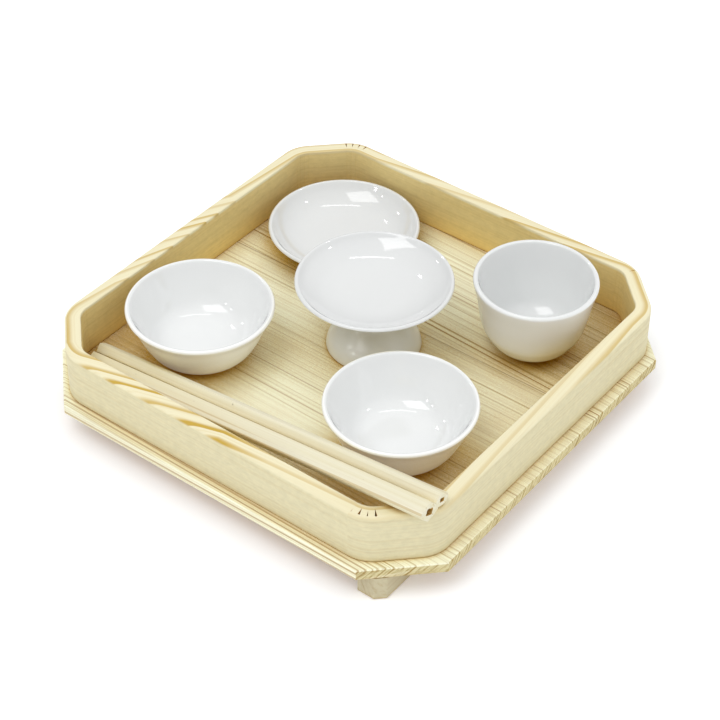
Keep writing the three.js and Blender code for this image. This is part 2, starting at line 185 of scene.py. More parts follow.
# Softened edges of the CAD nodes that stay
EDGE_EASE = 0.12 * MM
PEG_EASE = 0.1 * MM
EASE_SEGMENTS = 3
EASE_ANGLE = math.radians(30)
WELD_REACH = 0.001 * MM

# Softwood: scales of its noises along the grain, across the rings and the third way, where a ring is darkest, and
# the levels between which the fine streaks show
DRIFT_SCALES = (9, 22, 30)
FINE_SCALES = (5, 1100, 500)
FIBRE_SCALES = (35, 2600, 2600)
CLOUD_SCALES = (8, 16, 16)
RING_PACE = 0.45
RING_DARK = (0.86, 0.9)
FINE_LEVELS = (0.47, 0.68)
WOOD_ROUGHNESS = (0.6, 0.45)
WOOD_SHADES = (0.95, 1.04)
WOOD_BUMP = 0.04 * MM

# Grain of the board: the glued joint of its two planks, the lean, offset and strength of the rings in front of it and
# behind it, the closer and stronger rings of the front lip, and single dark rings
BOARD_SPACING = 2.7 * MM
BOARD_EARLY = (251, 250, 224)
BOARD_LATE = (184, 157, 90)
BOARD_WAVER = 0.7 * MM
BOARD_TILT = -0.7
BOARD_LEANS = (0.01, 0.05)
BOARD_STRENGTHS = (0.5, 0.7)
PLANK_OFFSET = 0.4
LIP_RINGS = (-116 * MM, -88 * MM)
LIP_RINGS_CLOSER = -14 * MM
LIP_STRONG = (-102 * MM, -94 * MM)
LIP_STRENGTH = 0.35
END_GRAIN_FACING = (0.5, 0.68)
END_GRAIN_STRENGTH = 0.6
END_GRAIN_TINT = (0.74, 0.67, 0.5)
PLANK_JOINT = 29.1 * MM
PLANK_JOINT_HALF = 0.18 * MM
DARK_RINGS = tuple(place * MM for place in (-114.3, -112.3, -52.9, -41.3, 24.5, 47.3, 49.6))
DARK_RING_HALF = 0.28 * MM
DARK_RING_TONE = (172, 134, 72)
GLUE_TONE = (150, 112, 60)
LINE_STRENGTH = 0.6

# Grain of the feet
FEET_SPACING = 3.2 * MM
FEET_EARLY = (203, 193, 162)
FEET_LATE = (166, 140, 92)
FEET_WAVER = 0.6 * MM
FEET_TILT = 0.4
FEET_STRENGTH = 0.6

# Walls of the rim: tones of the outer and inner face, the inner foot and the lines, and the mottle.
# The inner face's more golden tone is partly the wood's own and partly painted shade, and the golden inner foot is
# painted shade where the wall meets the floor
WALL_OUTER = (223, 214, 178)
WALL_INNER = (229, 208, 146)
WALL_FOOT_SHADE = (238, 209, 134)
WALL_FOOT_SHADE_REACH = 16 * MM
WALL_INNER_REACH = (0.3 * MM, 2.5 * MM)
WALL_LINE = (196, 168, 104)
WALL_LINE_SCALES = (7, 1000, 0)
WALL_LINE_LEVELS = (0.46, 0.68)
WALL_LINE_STRENGTH = 0.22
MOTTLE_SCALES = (260, 420, 0)
MOTTLE_SHADES = (0.93, 1.06)

# Crown of the rim: its tones, how far below the top it fades in, and along the strip from the middle of the front
# the stretches over which the rings run out sideways, and those over which they get stronger or fainter
CROWN_SPACING = 5.6 * MM
CROWN_EARLY = (238, 230, 196)
CROWN_LATE = (200, 166, 74)
CROWN_WAVER = 0.8 * MM
CROWN_DEPTHS = (1.9 * MM, 0.7 * MM)
CROWN_RUNS = tuple((low * MM, high * MM, run * MM) for low, high, run in (
    (-620, -480, 9), (-440, -300, 21), (-258, -210, -4), (-210, -165, -24), (-165, -130, -12), (-130, -100, -4),
    (-84, 5, 26), (5, 74, 5)))
CROWN_FAINT = 0.66
CROWN_FADES = tuple((low * MM, high * MM, change) for low, high, change in (
    (-500, -430, 0.14), (-120, -90, 0.6), (-5, 30, -0.9)))

# Bare wood and stalks shine little
BARE_SHINE = 0.12

# Painted shade, golden brown along joints, in gaps and round dishes and stalks: how far it reaches, and its tones from
# shut to open
OCCLUSION_SAMPLES = 4
JOINT_SHADE_REACH = 2.5 * MM
JOINT_SHADE_TONES = ((0.35, (0.74, 0.54, 0.26)), (0.6, (0.93, 0.85, 0.67)), (0.85, (1.0, 1.0, 1.0)))
GAP_SHADE_REACH = 50 * MM
GAP_SHADE_TONES = (
    (0.12, (0.42, 0.2, 0.02)), (0.26, (0.64, 0.4, 0.07)), (0.33, (0.92, 0.79, 0.45)), (0.4, (1.0, 0.98, 0.76)),
    (0.48, (1.0, 1.0, 0.93)), (0.58, (1.0, 1.0, 1.0)))
PORCELAIN_SHADE_REACH = 25 * MM
PORCELAIN_SHADE_TONES = ((0.2, (0.78, 0.7, 0.45)), (0.5, (0.94, 0.91, 0.77)), (0.85, (1.0, 1.0, 1.0)))
STALK_SHADE_REACH = 8 * MM
STALK_SHADE_TONES = (
    (0.12, (0.6, 0.42, 0.15)), (0.34, (0.94, 0.85, 0.58)), (0.56, (1.0, 0.99, 0.93)), (0.7, (1.0, 1.0, 1.0)))

# Porcelain: tones of the glazes, a painted glow of light on the bowls' outsides, specks, ripple, and roughness and coat
# inside and outside
BOWL_TONE = 231
BOWL_PAINTED_GLOW = 0.13
CUP_INSIDE_TONE = 229
CUP_OUTSIDE_TONE = 231
PLATE_TONE = 222
PAINTED_GLOW_COLOUR = (1.0, 0.98, 0.88, 1.0)
GLAZE_CLOUD_SCALES = (30, 30, 30)
RIPPLE_SCALES = (55, 55, 55)
SPECK_SCALES = (1500, 1500, 1500)
SPECK_LEVELS = (0.80, 0.83)
SPECK_STRENGTH = 0.12
SPECK_TONE = (180, 174, 162)
RIPPLE_BUMP = 0.25 * MM
GLAZE_IOR = 1.5
COAT_WEIGHT = 0.7
INSIDE_ROUGHNESS = (0.05, 0.1)
OUTSIDE_ROUGHNESS = (0.2, 0.3)
INSIDE_COAT_ROUGHNESS = 0.04
OUTSIDE_COAT_ROUGHNESS = 0.2
CLAY_TONE = (222, 219, 211)
CLAY_STAIN = (208, 200, 184)
CLAY_SCALES = (2400, 2400, 2400)
CLAY_STAIN_SCALES = (160, 160, 160)
CLAY_STAIN_LEVELS = (0.35, 0.7)
CLAY_BUMP = 0.05 * MM

# Bamboo, hemp stalks and the pith in them: scales of their noises, ramps of 0 to 255 tones over them, and the levels
# between which darker marks show
BAMBOO_SCALES = (5200, 5200, 60)
BAMBOO_BUMP = 0.04 * MM
BAMBOO_TONES = ((0.3, (150, 112, 60)), (0.55, (198, 162, 100)), (0.75, (216, 186, 128)))
HEMP_TONES = ((0.3, (226, 218, 184)), (0.5, (231, 225, 198)), (0.72, (236, 231, 210)))
HEMP_BAND_SCALES = (5, 330, 330)
HEMP_FIBRE = (196, 174, 120)
HEMP_FIBRE_SCALES = (12, 1500, 1500)
HEMP_FIBRE_LEVELS = (0.54, 0.7)
HEMP_FIBRE_STRENGTH = 0.22
HEMP_GROOVE = (190, 160, 96)
HEMP_GROOVE_SCALES = (4, 620, 620)
HEMP_GROOVE_LEVELS = (0.66, 0.72)
HEMP_GROOVE_STRENGTH = 0.5
HEMP_SPECK = (110, 84, 52)
HEMP_SPECK_SCALES = (420, 900, 900)
HEMP_SPECK_LEVELS = (0.80, 0.84)
HEMP_SPECK_STRENGTH = 0.55
HEMP_BUMP = 0.08 * MM
PITH_SCALES = (300, 1600, 1600)
PITH_BUMP = 0.3 * MM
PITH_TONES = ((0.3, (176, 134, 60)), (0.55, (208, 170, 92)), (0.8, (228, 200, 136)))


class Shader:
    """A material's node tree, with short calls for the nodes used here."""

    def __init__(self, name):
        self.material = bpy.data.materials.new(name)
        self.material.use_nodes = True
        self.tree = self.material.node_tree
        self.surface = self.tree.nodes["Principled BSDF"]

    def node(self, kind, **settings):
        made = self.tree.nodes.new(kind)
        for name, value in settings.items():
            setattr(made, name, value)
        return made

    def feed(self, socket, value):
        if isinstance(value, bpy.types.NodeSocket):
            self.tree.links.new(value, socket)
        elif value is not None:
            socket.default_value = value

    def math(self, operation, *values, clamp=False):
        made = self.node("ShaderNodeMath", operation=operation, use_clamp=clamp)
        for socket, value in zip(made.inputs, values):
            self.feed(socket, value)
        return made.outputs[0]

    def vector(self, x, y, z):
        made = self.node("ShaderNodeCombineXYZ")
        for socket, value in zip(made.inputs, (x, y, z)):
            self.feed(socket, value)
        return made.outputs[0]

    def split(self, vector):
        made = self.node("ShaderNodeSeparateXYZ")
        self.feed(made.inputs[0], vector)
        return made.outputs

    def scaled(self, x, y, z, scales):
        return self.vector(*(self.math("MULTIPLY", v, s) for v, s in zip((x, y, z), scales)))

    def noise(self, vector, detail=2.0, roughness=0.5):
        made = self.node("ShaderNodeTexNoise")
        self.feed(made.inputs["Vector"], vector)
        made.inputs["Scale"].default_value = 1.0
        made.inputs["Detail"].default_value = detail
        made.inputs["Roughness"].default_value = roughness
        return made.outputs["Fac"]

    def line_noise(self, value, scale, detail):
        made = self.node("ShaderNodeTexNoise", noise_dimensions="1D")
        self.feed(made.inputs["W"], value)
        made.inputs["Scale"].default_value = scale
        made.inputs["Detail"].default_value = detail
        return made.outputs["Fac"]

    def chance(self, value):
        """One number from 0 to 1 for each value."""
        made = self.node("ShaderNodeTexWhiteNoise", noise_dimensions="1D")
        self.feed(made.inputs["W"], value)
        return made.outputs["Value"]

    def span(self, value, low, high, to_low=0.0, to_high=1.0, smooth=False):
        made = self.node("ShaderNodeMapRange", interpolation_type="SMOOTHSTEP" if smooth else "LINEAR")
        for socket, number in zip(made.inputs, (value, low, high, to_low, to_high)):
            self.feed(socket, number)
        return made.outputs[0]

    def ramp(self, value, stops):
        made = self.node("ShaderNodeValToRGB")
        elements = made.color_ramp.elements
        while len(elements) < len(stops):
            elements.new(1.0)
        for element, (place, colour) in zip(elements, stops):
            element.position = place
            element.color = (*colour, 1.0)
        self.feed(made.inputs[0], value)
        return made.outputs[0]

    def mix(self, share, first, second, blend="MIX"):
        made = self.node("ShaderNodeMix", data_type="RGBA", blend_type=blend)
        self.feed(made.inputs[0], share)
        for socket, value in zip(made.inputs[6:8], (first, second)):
            self.feed(socket, value if isinstance(value, bpy.types.NodeSocket) else (*value, 1.0))
        return made.outputs[2]

    def bump(self, height, distance, strength):
        made = self.node("ShaderNodeBump")
        made.inputs["Strength"].default_value = strength
        made.inputs["Distance"].default_value = distance
        self.feed(made.inputs["Height"], height)
        return made.outputs[0]

    def shaded(self, colour, shade):
        return self.mix(1.0, colour, self.vector(shade, shade, shade), "MULTIPLY")

    def away(self, value, centre):
        return self.math("ABSOLUTE", self.math("SUBTRACT", value, centre))

    def painted_shade(self, colour, reach, tones):
        """Painted shade: golden brown where surfaces close in on each other within a reach, with the tones from shut to
        open.
        """
        made = self.node("ShaderNodeAmbientOcclusion", samples=OCCLUSION_SAMPLES)
        made.inputs["Distance"].default_value = reach
        return self.mix(1.0, colour, self.ramp(made.outputs["AO"], tones), "MULTIPLY")

    def place(self):
        return self.split(self.node("ShaderNodeTexCoord").outputs["Object"])

    def uv(self, name):
        return self.split(self.node("ShaderNodeUVMap", uv_map=name).outputs[0])

    def finish(self, colour, roughness, normal=None, **fixed):
        self.feed(self.surface.inputs["Base Color"], colour)
        self.feed(self.surface.inputs["Roughness"], roughness)
        self.feed(self.surface.inputs["Normal"], normal)
        for name, value in fixed.items():
            self.surface.inputs[name.replace("_", " ")].default_value = value
        return self.material


def srgb(red, green, blue):
    """Linear colour from the usual 0 to 255 values."""
    return tuple(((v / 255 + 0.055) / 1.055) ** 2.4 for v in (red, green, blue))


def linear(tones):
    """Stops of a ramp, with their 0 to 255 tones made linear."""
    return tuple((place, srgb(*tone)) for place, tone in tones)


def wood(
        shader, place, spacing, early, late, strength, onset, uneven, waver, faintest=0.1, streaks=0.5, rarity=2.0):
    """Softwood colour, roughness and bump from a place along the grain, one across the rings and the third one.

    Rings start to darken at an onset and are unevenly spaced. They waver sideways, and the rarer the strong ones are,
    the more are as weak as the faintest. Fine streaks lie between them.
    """
    along, ring, other = place
    drift = shader.noise(shader.scaled(along, ring, other, DRIFT_SCALES))
    ring = shader.math("ADD", ring, shader.span(drift, 0, 1, -waver, waver))
    pace = shader.math("MULTIPLY", shader.line_noise(ring, RING_PACE / spacing, 1), uneven)
    phase = shader.math("ADD", shader.math("DIVIDE", ring, spacing), pace)
    part = shader.math("FRACT", phase)
    weight = shader.chance(shader.math("FLOOR", phase))
    rise = shader.span(part, onset, RING_DARK[0], 0, 1, smooth=True)
    fall = shader.span(part, RING_DARK[1], 1.0, 1, 0, smooth=True)
    latewood = shader.math("MULTIPLY", rise, fall)
    latewood = shader.math("MULTIPLY", latewood, shader.span(shader.math("POWER", weight, rarity), 0, 1, faintest, 1))
    fine = shader.noise(shader.scaled(along, ring, other, FINE_SCALES), detail=3, roughness=0.6)
    fibre = shader.noise(shader.scaled(along, ring, other, FIBRE_SCALES), detail=3, roughness=0.65)
    cloud = shader.noise(shader.scaled(along, ring, other, CLOUD_SCALES))
    grain = shader.math("ADD", latewood, shader.span(fine, *FINE_LEVELS, 0, streaks))
    colour = shader.mix(shader.math("MULTIPLY", grain, strength, clamp=True), srgb(*early), srgb(*late))
    colour = shader.shaded(colour, shader.span(shader.math("ADD", fibre, cloud), 0.6, 1.4, *WOOD_SHADES))
    height = shader.math("ADD", shader.math("MULTIPLY", fibre, 0.6), shader.math("MULTIPLY", latewood, 0.4))
    return colour, shader.span(latewood, 0, 1, *WOOD_ROUGHNESS), shader.bump(height, WOOD_BUMP, 0.4)


def board_wood():
    """Two planks: fine straight rings in front of the joint, stronger leaning ones behind it."""
    shader = Shader("white_wood_board")
    x, y, z = shader.place()
    behind = shader.math("GREATER_THAN", y, PLANK_JOINT)
    facing = shader.split(shader.node("ShaderNodeTexCoord").outputs["Normal"])[0]
    end_grain = shader.span(shader.math("ABSOLUTE", facing), *END_GRAIN_FACING)
    ring = shader.math("ADD", y, shader.math("MULTIPLY", z, BOARD_TILT))
    lean = shader.span(behind, 0, 1, *BOARD_LEANS)
    ring = shader.math("ADD", ring, shader.math("MULTIPLY", x, lean))
    close = shader.span(ring, *LIP_RINGS, LIP_RINGS_CLOSER, 0)
    moved = shader.math("ADD", shader.math("ADD", ring, close), shader.math("MULTIPLY", behind, PLANK_OFFSET))
    strength = shader.math(
        "ADD", shader.span(behind, 0, 1, *BOARD_STRENGTHS), shader.math("MULTIPLY", end_grain, END_GRAIN_STRENGTH))
    strength = shader.math("ADD", strength, shader.span(ring, *LIP_STRONG, LIP_STRENGTH, 0))
    colour, roughness, normal = wood(
        shader, (x, moved, z), BOARD_SPACING, BOARD_EARLY, BOARD_LATE, strength, onset=0.62, uneven=1.6,
        waver=BOARD_WAVER, faintest=0.15, streaks=0.6)
    for centre in DARK_RINGS:
        edge = shader.span(
            shader.away(ring, centre), DARK_RING_HALF * 0.4, DARK_RING_HALF * 1.6, LINE_STRENGTH, 0)
        colour = shader.mix(edge, colour, srgb(*DARK_RING_TONE))
    edge = shader.span(shader.away(y, PLANK_JOINT), PLANK_JOINT_HALF, PLANK_JOINT_HALF * 2, LINE_STRENGTH, 0)
    colour = shader.mix(edge, colour, srgb(*GLUE_TONE))
    colour = shader.mix(end_grain, colour, shader.mix(1.0, colour, END_GRAIN_TINT, "MULTIPLY"))
    # painted shade: golden brown along joints and darker in the gaps round the rim, dishes and stalks
    colour = shader.painted_shade(shader.painted_shade(colour, JOINT_SHADE_REACH, JOINT_SHADE_TONES), GAP_SHADE_REACH, GAP_SHADE_TONES)
    return shader.finish(colour, roughness, normal, Specular_IOR_Level=BARE_SHINE)


def foot_wood():
    shader = Shader("white_wood_feet")
    x, y, z = shader.place()
    ring = shader.math("ADD", x, shader.math("MULTIPLY", z, FEET_TILT))
    colour, roughness, normal = wood(
        shader, (y, ring, z), FEET_SPACING, FEET_EARLY, FEET_LATE, FEET_STRENGTH, onset=0.5, uneven=1.6,
        waver=FEET_WAVER)
    # painted shade: golden brown along the joints with the board
    return shader.finish(
        shader.painted_shade(colour, JOINT_SHADE_REACH, JOINT_SHADE_TONES), roughness, normal, Specular_IOR_Level=BARE_SHINE)


def rim_wood():
    """The strip's grain runs round the bends: its two maps give the place along, the height and the way out."""
    shader = Shader("white_wood_rim")
    along, height, _ = shader.uv("along_height")
    _, out, _ = shader.uv("along_out")
    low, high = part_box("bent_rim")
    ring = out
    for start, end, run in CROWN_RUNS:
        ring = shader.math("ADD", ring, shader.span(along, start, end, 0, run))
    strength = CROWN_FAINT
    for start, end, change in CROWN_FADES:
        strength = shader.math("ADD", strength, shader.span(along, start, end, 0, change))
    top_colour, roughness, normal = wood(
        shader, (along, ring, height), CROWN_SPACING, CROWN_EARLY, CROWN_LATE, strength, onset=0.45, uneven=0.8,
        waver=CROWN_WAVER, faintest=0.5, streaks=0.15, rarity=1.0)
    inner = shader.span(out, *WALL_INNER_REACH, 1, 0, smooth=True)
    # painted shade: the inner face turns golden towards the floor
    foot_shade = shader.span(height, low.z, low.z + WALL_FOOT_SHADE_REACH, 1, 0, smooth=True)
    wall = shader.mix(inner, srgb(*WALL_OUTER), srgb(*WALL_INNER))
    wall = shader.mix(shader.math("MULTIPLY", inner, foot_shade), wall, srgb(*WALL_FOOT_SHADE))
    line = shader.noise(shader.scaled(along, height, out, WALL_LINE_SCALES), detail=3)
    wall = shader.mix(shader.span(line, *WALL_LINE_LEVELS, 0, WALL_LINE_STRENGTH), wall, srgb(*WALL_LINE))
    mottle = shader.noise(shader.scaled(along, height, out, MOTTLE_SCALES), detail=4, roughness=0.7)
    wall = shader.shaded(wall, shader.span(mottle, 0.3, 0.7, *MOTTLE_SHADES))
    crown = shader.span(height, *(high.z - depth for depth in CROWN_DEPTHS), smooth=True)
    # painted shade: golden brown along the rim's joints with the board
    colour = shader.painted_shade(shader.mix(crown, wall, top_colour), JOINT_SHADE_REACH, JOINT_SHADE_TONES)
    return shader.finish(colour, roughness, normal, Specular_IOR_Level=BARE_SHINE)


def peg_bamboo():
    shader = Shader("bamboo")
    x, y, z = shader.place()
    fibre = shader.noise(shader.scaled(x, y, z, BAMBOO_SCALES))
    normal = shader.bump(fibre, BAMBOO_BUMP, 0.6)
    return shader.finish(shader.ramp(fibre, linear(BAMBOO_TONES)), shader.span(fibre, 0, 1, 0.65, 0.45), normal)


def glazed_porcelain(name, tone, outside=False, painted_glow=0.0):
    """White glaze of a tone; outsides get painted shade, golden brown where the wood and other pieces close in, and a
    painted glow of light can be added.
    """
    shader = Shader(name)
    x, y, z = shader.place()
    cloud = shader.noise(shader.scaled(x, y, z, GLAZE_CLOUD_SCALES))
    ripple = shader.noise(shader.scaled(x, y, z, RIPPLE_SCALES))
    grit = shader.noise(shader.scaled(x, y, z, SPECK_SCALES), detail=1)
    colour = shader.mix(cloud, srgb(tone, tone + 2, tone + 2), srgb(tone + 5, tone + 6, tone + 5))
    colour = shader.mix(shader.span(grit, *SPECK_LEVELS, 0, SPECK_STRENGTH), colour, srgb(*SPECK_TONE))
    if outside:
        # painted shade on outsides: golden brown where wood and other pieces close in
        colour = shader.painted_shade(colour, PORCELAIN_SHADE_REACH, PORCELAIN_SHADE_TONES)
    roughness = shader.span(cloud, 0, 1, *(OUTSIDE_ROUGHNESS if outside else INSIDE_ROUGHNESS))
    # a non-zero emission here is a painted glow of light, not a lamp
    return shader.finish(
        colour, roughness, shader.bump(ripple, RIPPLE_BUMP, 0.4), Coat_Weight=COAT_WEIGHT,
        Coat_Roughness=OUTSIDE_COAT_ROUGHNESS if outside else INSIDE_COAT_ROUGHNESS, IOR=GLAZE_IOR,
        Emission_Color=PAINTED_GLOW_COLOUR, Emission_Strength=painted_glow)


def bare_porcelain():
    shader = Shader("white_porcelain_bare_foot")
    x, y, z = shader.place()
    grain = shader.noise(shader.scaled(x, y, z, CLAY_SCALES))
    stain = shader.noise(shader.scaled(x, y, z, CLAY_STAIN_SCALES))
    colour = shader.mix(shader.span(stain, *CLAY_STAIN_LEVELS), srgb(*CLAY_TONE), srgb(*CLAY_STAIN))
    return shader.finish(colour, shader.span(grain, 0, 1, 0.7, 0.9), shader.bump(grain, CLAY_BUMP, 0.6))


def hemp_stalk():
    """Peeled stalk: long pale fibres, a few darker ones and small specks, on the stick's own axis, with painted golden
    shade where it comes close to other surfaces.
    """
    shader = Shader("hemp_stalk")
    x, y, z = shader.place()
    fibre = shader.noise(shader.scaled(x, y, z, HEMP_FIBRE_SCALES), detail=3, roughness=0.6)
    band = shader.noise(shader.scaled(x, y, z, HEMP_BAND_SCALES))
    groove = shader.noise(shader.scaled(x, y, z, HEMP_GROOVE_SCALES), detail=1)
    speck = shader.noise(shader.scaled(x, y, z, HEMP_SPECK_SCALES), detail=1)
    colour = shader.ramp(band, linear(HEMP_TONES))
    for noise, levels, strength, tone in (
            (fibre, HEMP_FIBRE_LEVELS, HEMP_FIBRE_STRENGTH, HEMP_FIBRE),
            (groove, HEMP_GROOVE_LEVELS, HEMP_GROOVE_STRENGTH, HEMP_GROOVE),
            (speck, HEMP_SPECK_LEVELS, HEMP_SPECK_STRENGTH, HEMP_SPECK)):
        colour = shader.mix(shader.span(noise, *levels, 0, strength), colour, srgb(*tone))
    height = shader.math("SUBTRACT", shader.math("ADD", fibre, shader.math("MULTIPLY", band, 0.8)), groove)
    # painted shade: golden brown where the stalk comes close to other surfaces
    colour = shader.painted_shade(colour, STALK_SHADE_REACH, STALK_SHADE_TONES)
    return shader.finish(
        colour, shader.span(fibre, 0, 1, 0.8, 0.55), shader.bump(height, HEMP_BUMP, 0.4), Specular_IOR_Level=BARE_SHINE)


def stalk_bore():
    """The brown pith left inside the stalk."""
    shader = Shader("hemp_stalk_bore")
    x, y, z = shader.place()
    pith = shader.noise(shader.scaled(x, y, z, PITH_SCALES), detail=3)
    return shader.finish(
        shader.ramp(pith, linear(PITH_TONES)), shader.span(pith, 0, 1, 0.95, 0.75), shader.bump(pith, PITH_BUMP, 0.8))


def new_mesh(name, points, faces, materials, smooth=True):
    mesh = bpy.data.meshes.new(name)
    mesh.from_pydata(points, [], faces)
    for material in materials:
        mesh.materials.append(material)
    mesh.shade_smooth() if smooth else mesh.shade_flat()
    made = bpy.data.objects.new(name, mesh)
    bpy.context.scene.collection.objects.link(made)
    return made


def dress(name, made, body):
    """Lets a new piece ride a body and stand for the CAD node of a name."""
    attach(made, body)
    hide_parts(name)


def curve_through(points, steps):
    """Points on a smooth curve through the given ones, both ends kept, with its knots spaced by their distances."""
    knots = [Vector(point) for point in points]
    full = [knots[0] * 2 - knots[1], *knots, knots[-1] * 2 - knots[-2]]
    made = []
    for a, b, c, d in zip(full, full[1:], full[2:], full[3:]):
        at_b = (b - a).length ** 0.5
        at_c = at_b + (c - b).length ** 0.5
        at_d = at_c + (d - c).length ** 0.5
        for step in range(steps):
            t = at_b + (at_c - at_b) * step / steps
            first = a.lerp(b, t / at_b)
            second = b.lerp(c, (t - at_b) / (at_c - at_b))
            third = c.lerp(d, (t - at_c) / (at_d - at_c))
            low = first.lerp(second, t / at_c)
            high = second.lerp(third, (t - at_b) / (at_d - at_b))
            made.append(tuple(low.lerp(high, (t - at_b) / (at_c - at_b))))
    return [*made, tuple(knots[-1])]


def wall_point(corner, angle, out):
    """A point of the rim's wall at a bend, an angle round it and a distance out from the inner face."""
    reach = RIM_BEND_RADIUS + out
    return corner[0] + reach * math.cos(angle), corner[1] + reach * math.sin(angle)


def rim_bends(low, high):
    """The centre of each bend's arc, anticlockwise from the front right."""
    middle = (low + high) / 2
    half_x = (high.x - low.x) / 2 - RIM_WALL
    half_y = (high.y - low.y) / 2 - RIM_WALL
    corners = []
    for turn in range(RIM_SIDES):
        sign_x = 1 if turn in (0, 1, 2, 3) else -1
        sign_y = 1 if turn in (2, 3, 4, 5) else -1
        on_y = turn in (0, 3, 4, 7)
        x = sign_x * (half_x - (RIM_CORNER_CUT if on_y else 0))
        y = sign_y * (half_y - (0 if on_y else RIM_CORNER_CUT))
        angle = turn * BEND - QUARTER + BEND / 2
        reach = RIM_BEND_RADIUS / math.cos(BEND / 2)
        corners.append((middle.x + x - reach * math.cos(angle), middle.y + y - reach * math.sin(angle)))
    return corners


def rim_section(bottom, top):
    """Out and up round the wall's section, anticlockwise, from the inner foot."""
    section = [(RIM_FOOT_EASE, bottom), (RIM_WALL - RIM_FOOT_EASE, bottom), (RIM_WALL, bottom + RIM_FOOT_EASE)]
    for share in (0.25, 0.5, 0.75):
        section.append((RIM_WALL, bottom + (top - bottom - RIM_OUTER_ROUND) * share))
    for step in range(RIM_ROUND_STEPS + 1):
        angle = QUARTER * step / RIM_ROUND_STEPS
        section.append((
            RIM_WALL - RIM_OUTER_ROUND * (1 - math.cos(angle)), top - RIM_OUTER_ROUND * (1 - math.sin(angle))))
    section.append((RIM_WALL / 2, top))
    for step in range(RIM_ROUND_STEPS + 1):
        angle = QUARTER + QUARTER * step / RIM_ROUND_STEPS
        section.append((RIM_INNER_ROUND * (1 + math.cos(angle)), top - RIM_INNER_ROUND * (1 - math.sin(angle))))
    for share in (0.75, 0.5, 0.25):
        section.append((0, bottom + (top - bottom - RIM_INNER_ROUND) * share))
    section.append((0, bottom + RIM_FOOT_EASE))
    return section


def kerf_angle(bend, index):
    middle = RIM_BEND_RADIUS + RIM_WALL / 2
    return bend * BEND - QUARTER + BEND / 2 + KERF_SPREAD / middle * (index / (KERFS - 1) - 0.5)


def bend_stations(bend):
    """Angles round a bend, each with the depth of the hairline that a shut kerf leaves on the inner face."""
    start = bend * BEND - QUARTER
    stations = [(start + BEND * step / RIM_BEND_STEPS, 0.0) for step in range(RIM_BEND_STEPS + 1)]
    half = KERF_LINE_HALF / RIM_BEND_RADIUS
    for index in range(KERFS):
        angle = kerf_angle(bend, index)
        stations = [(a, d) for a, d in stations if abs(a - angle) > half * KERF_LINE_CLEAR]
        stations += [(angle - half, 0.0), (angle, KERF_LINE_DEPTH), (angle + half, 0.0)]
    return sorted(stations)


def rim_mesh(materials):
    """The strip before its kerfs are opened, with its two maps, the centres of its bends and its box."""
    low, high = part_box("bent_rim")
    section = rim_section(low.z, high.z)
    corners = rim_bends(low, high)
    rings = []
    along = 0.0
    last = None

    def add(ring, middle):
        nonlocal along, last
        along += (middle - last).length if last else 0.0
        last = middle
        rings.append((along, ring))

    for bend, corner in enumerate(corners):
        stations = bend_stations(bend)
        for angle, line in stations:
            ring = [(*wall_point(corner, angle, max(out, line)), z) for out, z in section]
            add(ring, Vector(wall_point(corner, angle, RIM_WALL / 2)))
        following = corners[(bend + 1) % RIM_SIDES]
        angle = stations[-1][0]
        for step in range(1, RIM_SIDE_STEPS):
            share = step / RIM_SIDE_STEPS

            def between(out):
                return Vector(wall_point(corner, angle, out)).lerp(Vector(wall_point(following, angle, out)), share)

            add([(*between(out), z) for out, z in section], between(RIM_WALL / 2))
    first_middle = Vector(wall_point(corners[0], -QUARTER, RIM_WALL / 2))
    front_left = Vector(wall_point(corners[-1], -QUARTER, RIM_WALL / 2))
    whole = along + (first_middle - last).length
    front = whole - (first_middle - front_left).length / 2
    count = len(section)
    points = [point for _, ring in rings for point in ring]
    faces = []
    maps = {"along_height": [], "along_out": []}
    for index in range(len(rings)):
        following = (index + 1) % len(rings)
        here = rings[index][0] - front
        there = (rings[following][0] if following else whole) - front
        for i in range(count):
            j = (i + 1) % count
            faces.append((index * count + i, following * count + i, following * count + j, index * count + j))
            for u, k in ((here, i), (there, i), (there, j), (here, j)):
                maps["along_height"].append((u, section[k][1]))
                maps["along_out"].append((u, section[k][0]))
    made = new_mesh("rim_strip", points, faces, materials)
    for name, places in maps.items():
        layer = made.data.uv_layers.new(name=name)
        for loop, place in zip(layer.data, places):
            loop.uv = place
    return made, corners, low, high


def kerf_cutter(corners, low, high):
    """All the open kerfs as one set of upright wedges, narrow at the mouth and wide near the outer skin."""
    points = []
    faces = []
    outer = RIM_WALL - KERF_SKIN
    for bend, shares in KERF_OPEN_SHARES.items():
        for index, share in enumerate(shares):
            if not share:
                continue
            angle = kerf_angle(bend, index)
            half = KERF_MOUTH * share / 2 / (RIM_BEND_RADIUS + outer)
            tip = outer - KERF_DEPTH * (KERF_LEAST_DEPTH_SHARE + (1 - KERF_LEAST_DEPTH_SHARE) * share)
            base = len(points)
            for z in (low.z - KERF_OVERRUN, high.z + KERF_OVERRUN):
                points.append((*wall_point(corners[bend], angle, tip), z))
                points.append((*wall_point(corners[bend], angle - half, outer), z))
                points.append((*wall_point(corners[bend], angle + half, outer), z))
            wedge = ((0, 2, 1), (3, 4, 5), (0, 1, 4, 3), (1, 2, 5, 4), (2, 0, 3, 5))
            faces += [tuple(base + k for k in face) for face in wedge]
    return new_mesh("kerf_cutter", points, faces, [], smooth=False)


def bake(made):
    """Applies the modifiers of an object to its mesh."""
    depsgraph = bpy.context.evaluated_depsgraph_get()
    mesh = bpy.data.meshes.new_from_object(made.evaluated_get(depsgraph))
    made.modifiers.clear()
    made.data = mesh


def bent_rim(material):
    made, corners, low, high = rim_mesh([material])
    cutter = kerf_cutter(corners, low, high)
    cut = made.modifiers.new("kerfs", "BOOLEAN")
    cut.operation = "DIFFERENCE"
    cut.solver = "EXACT"
    cut.object = cutter
    bake(made)
    bpy.data.objects.remove(cutter)
    made.data.set_sharp_from_angle(angle=RIM_SHARP)
    dress("bent_rim", made, "tray")


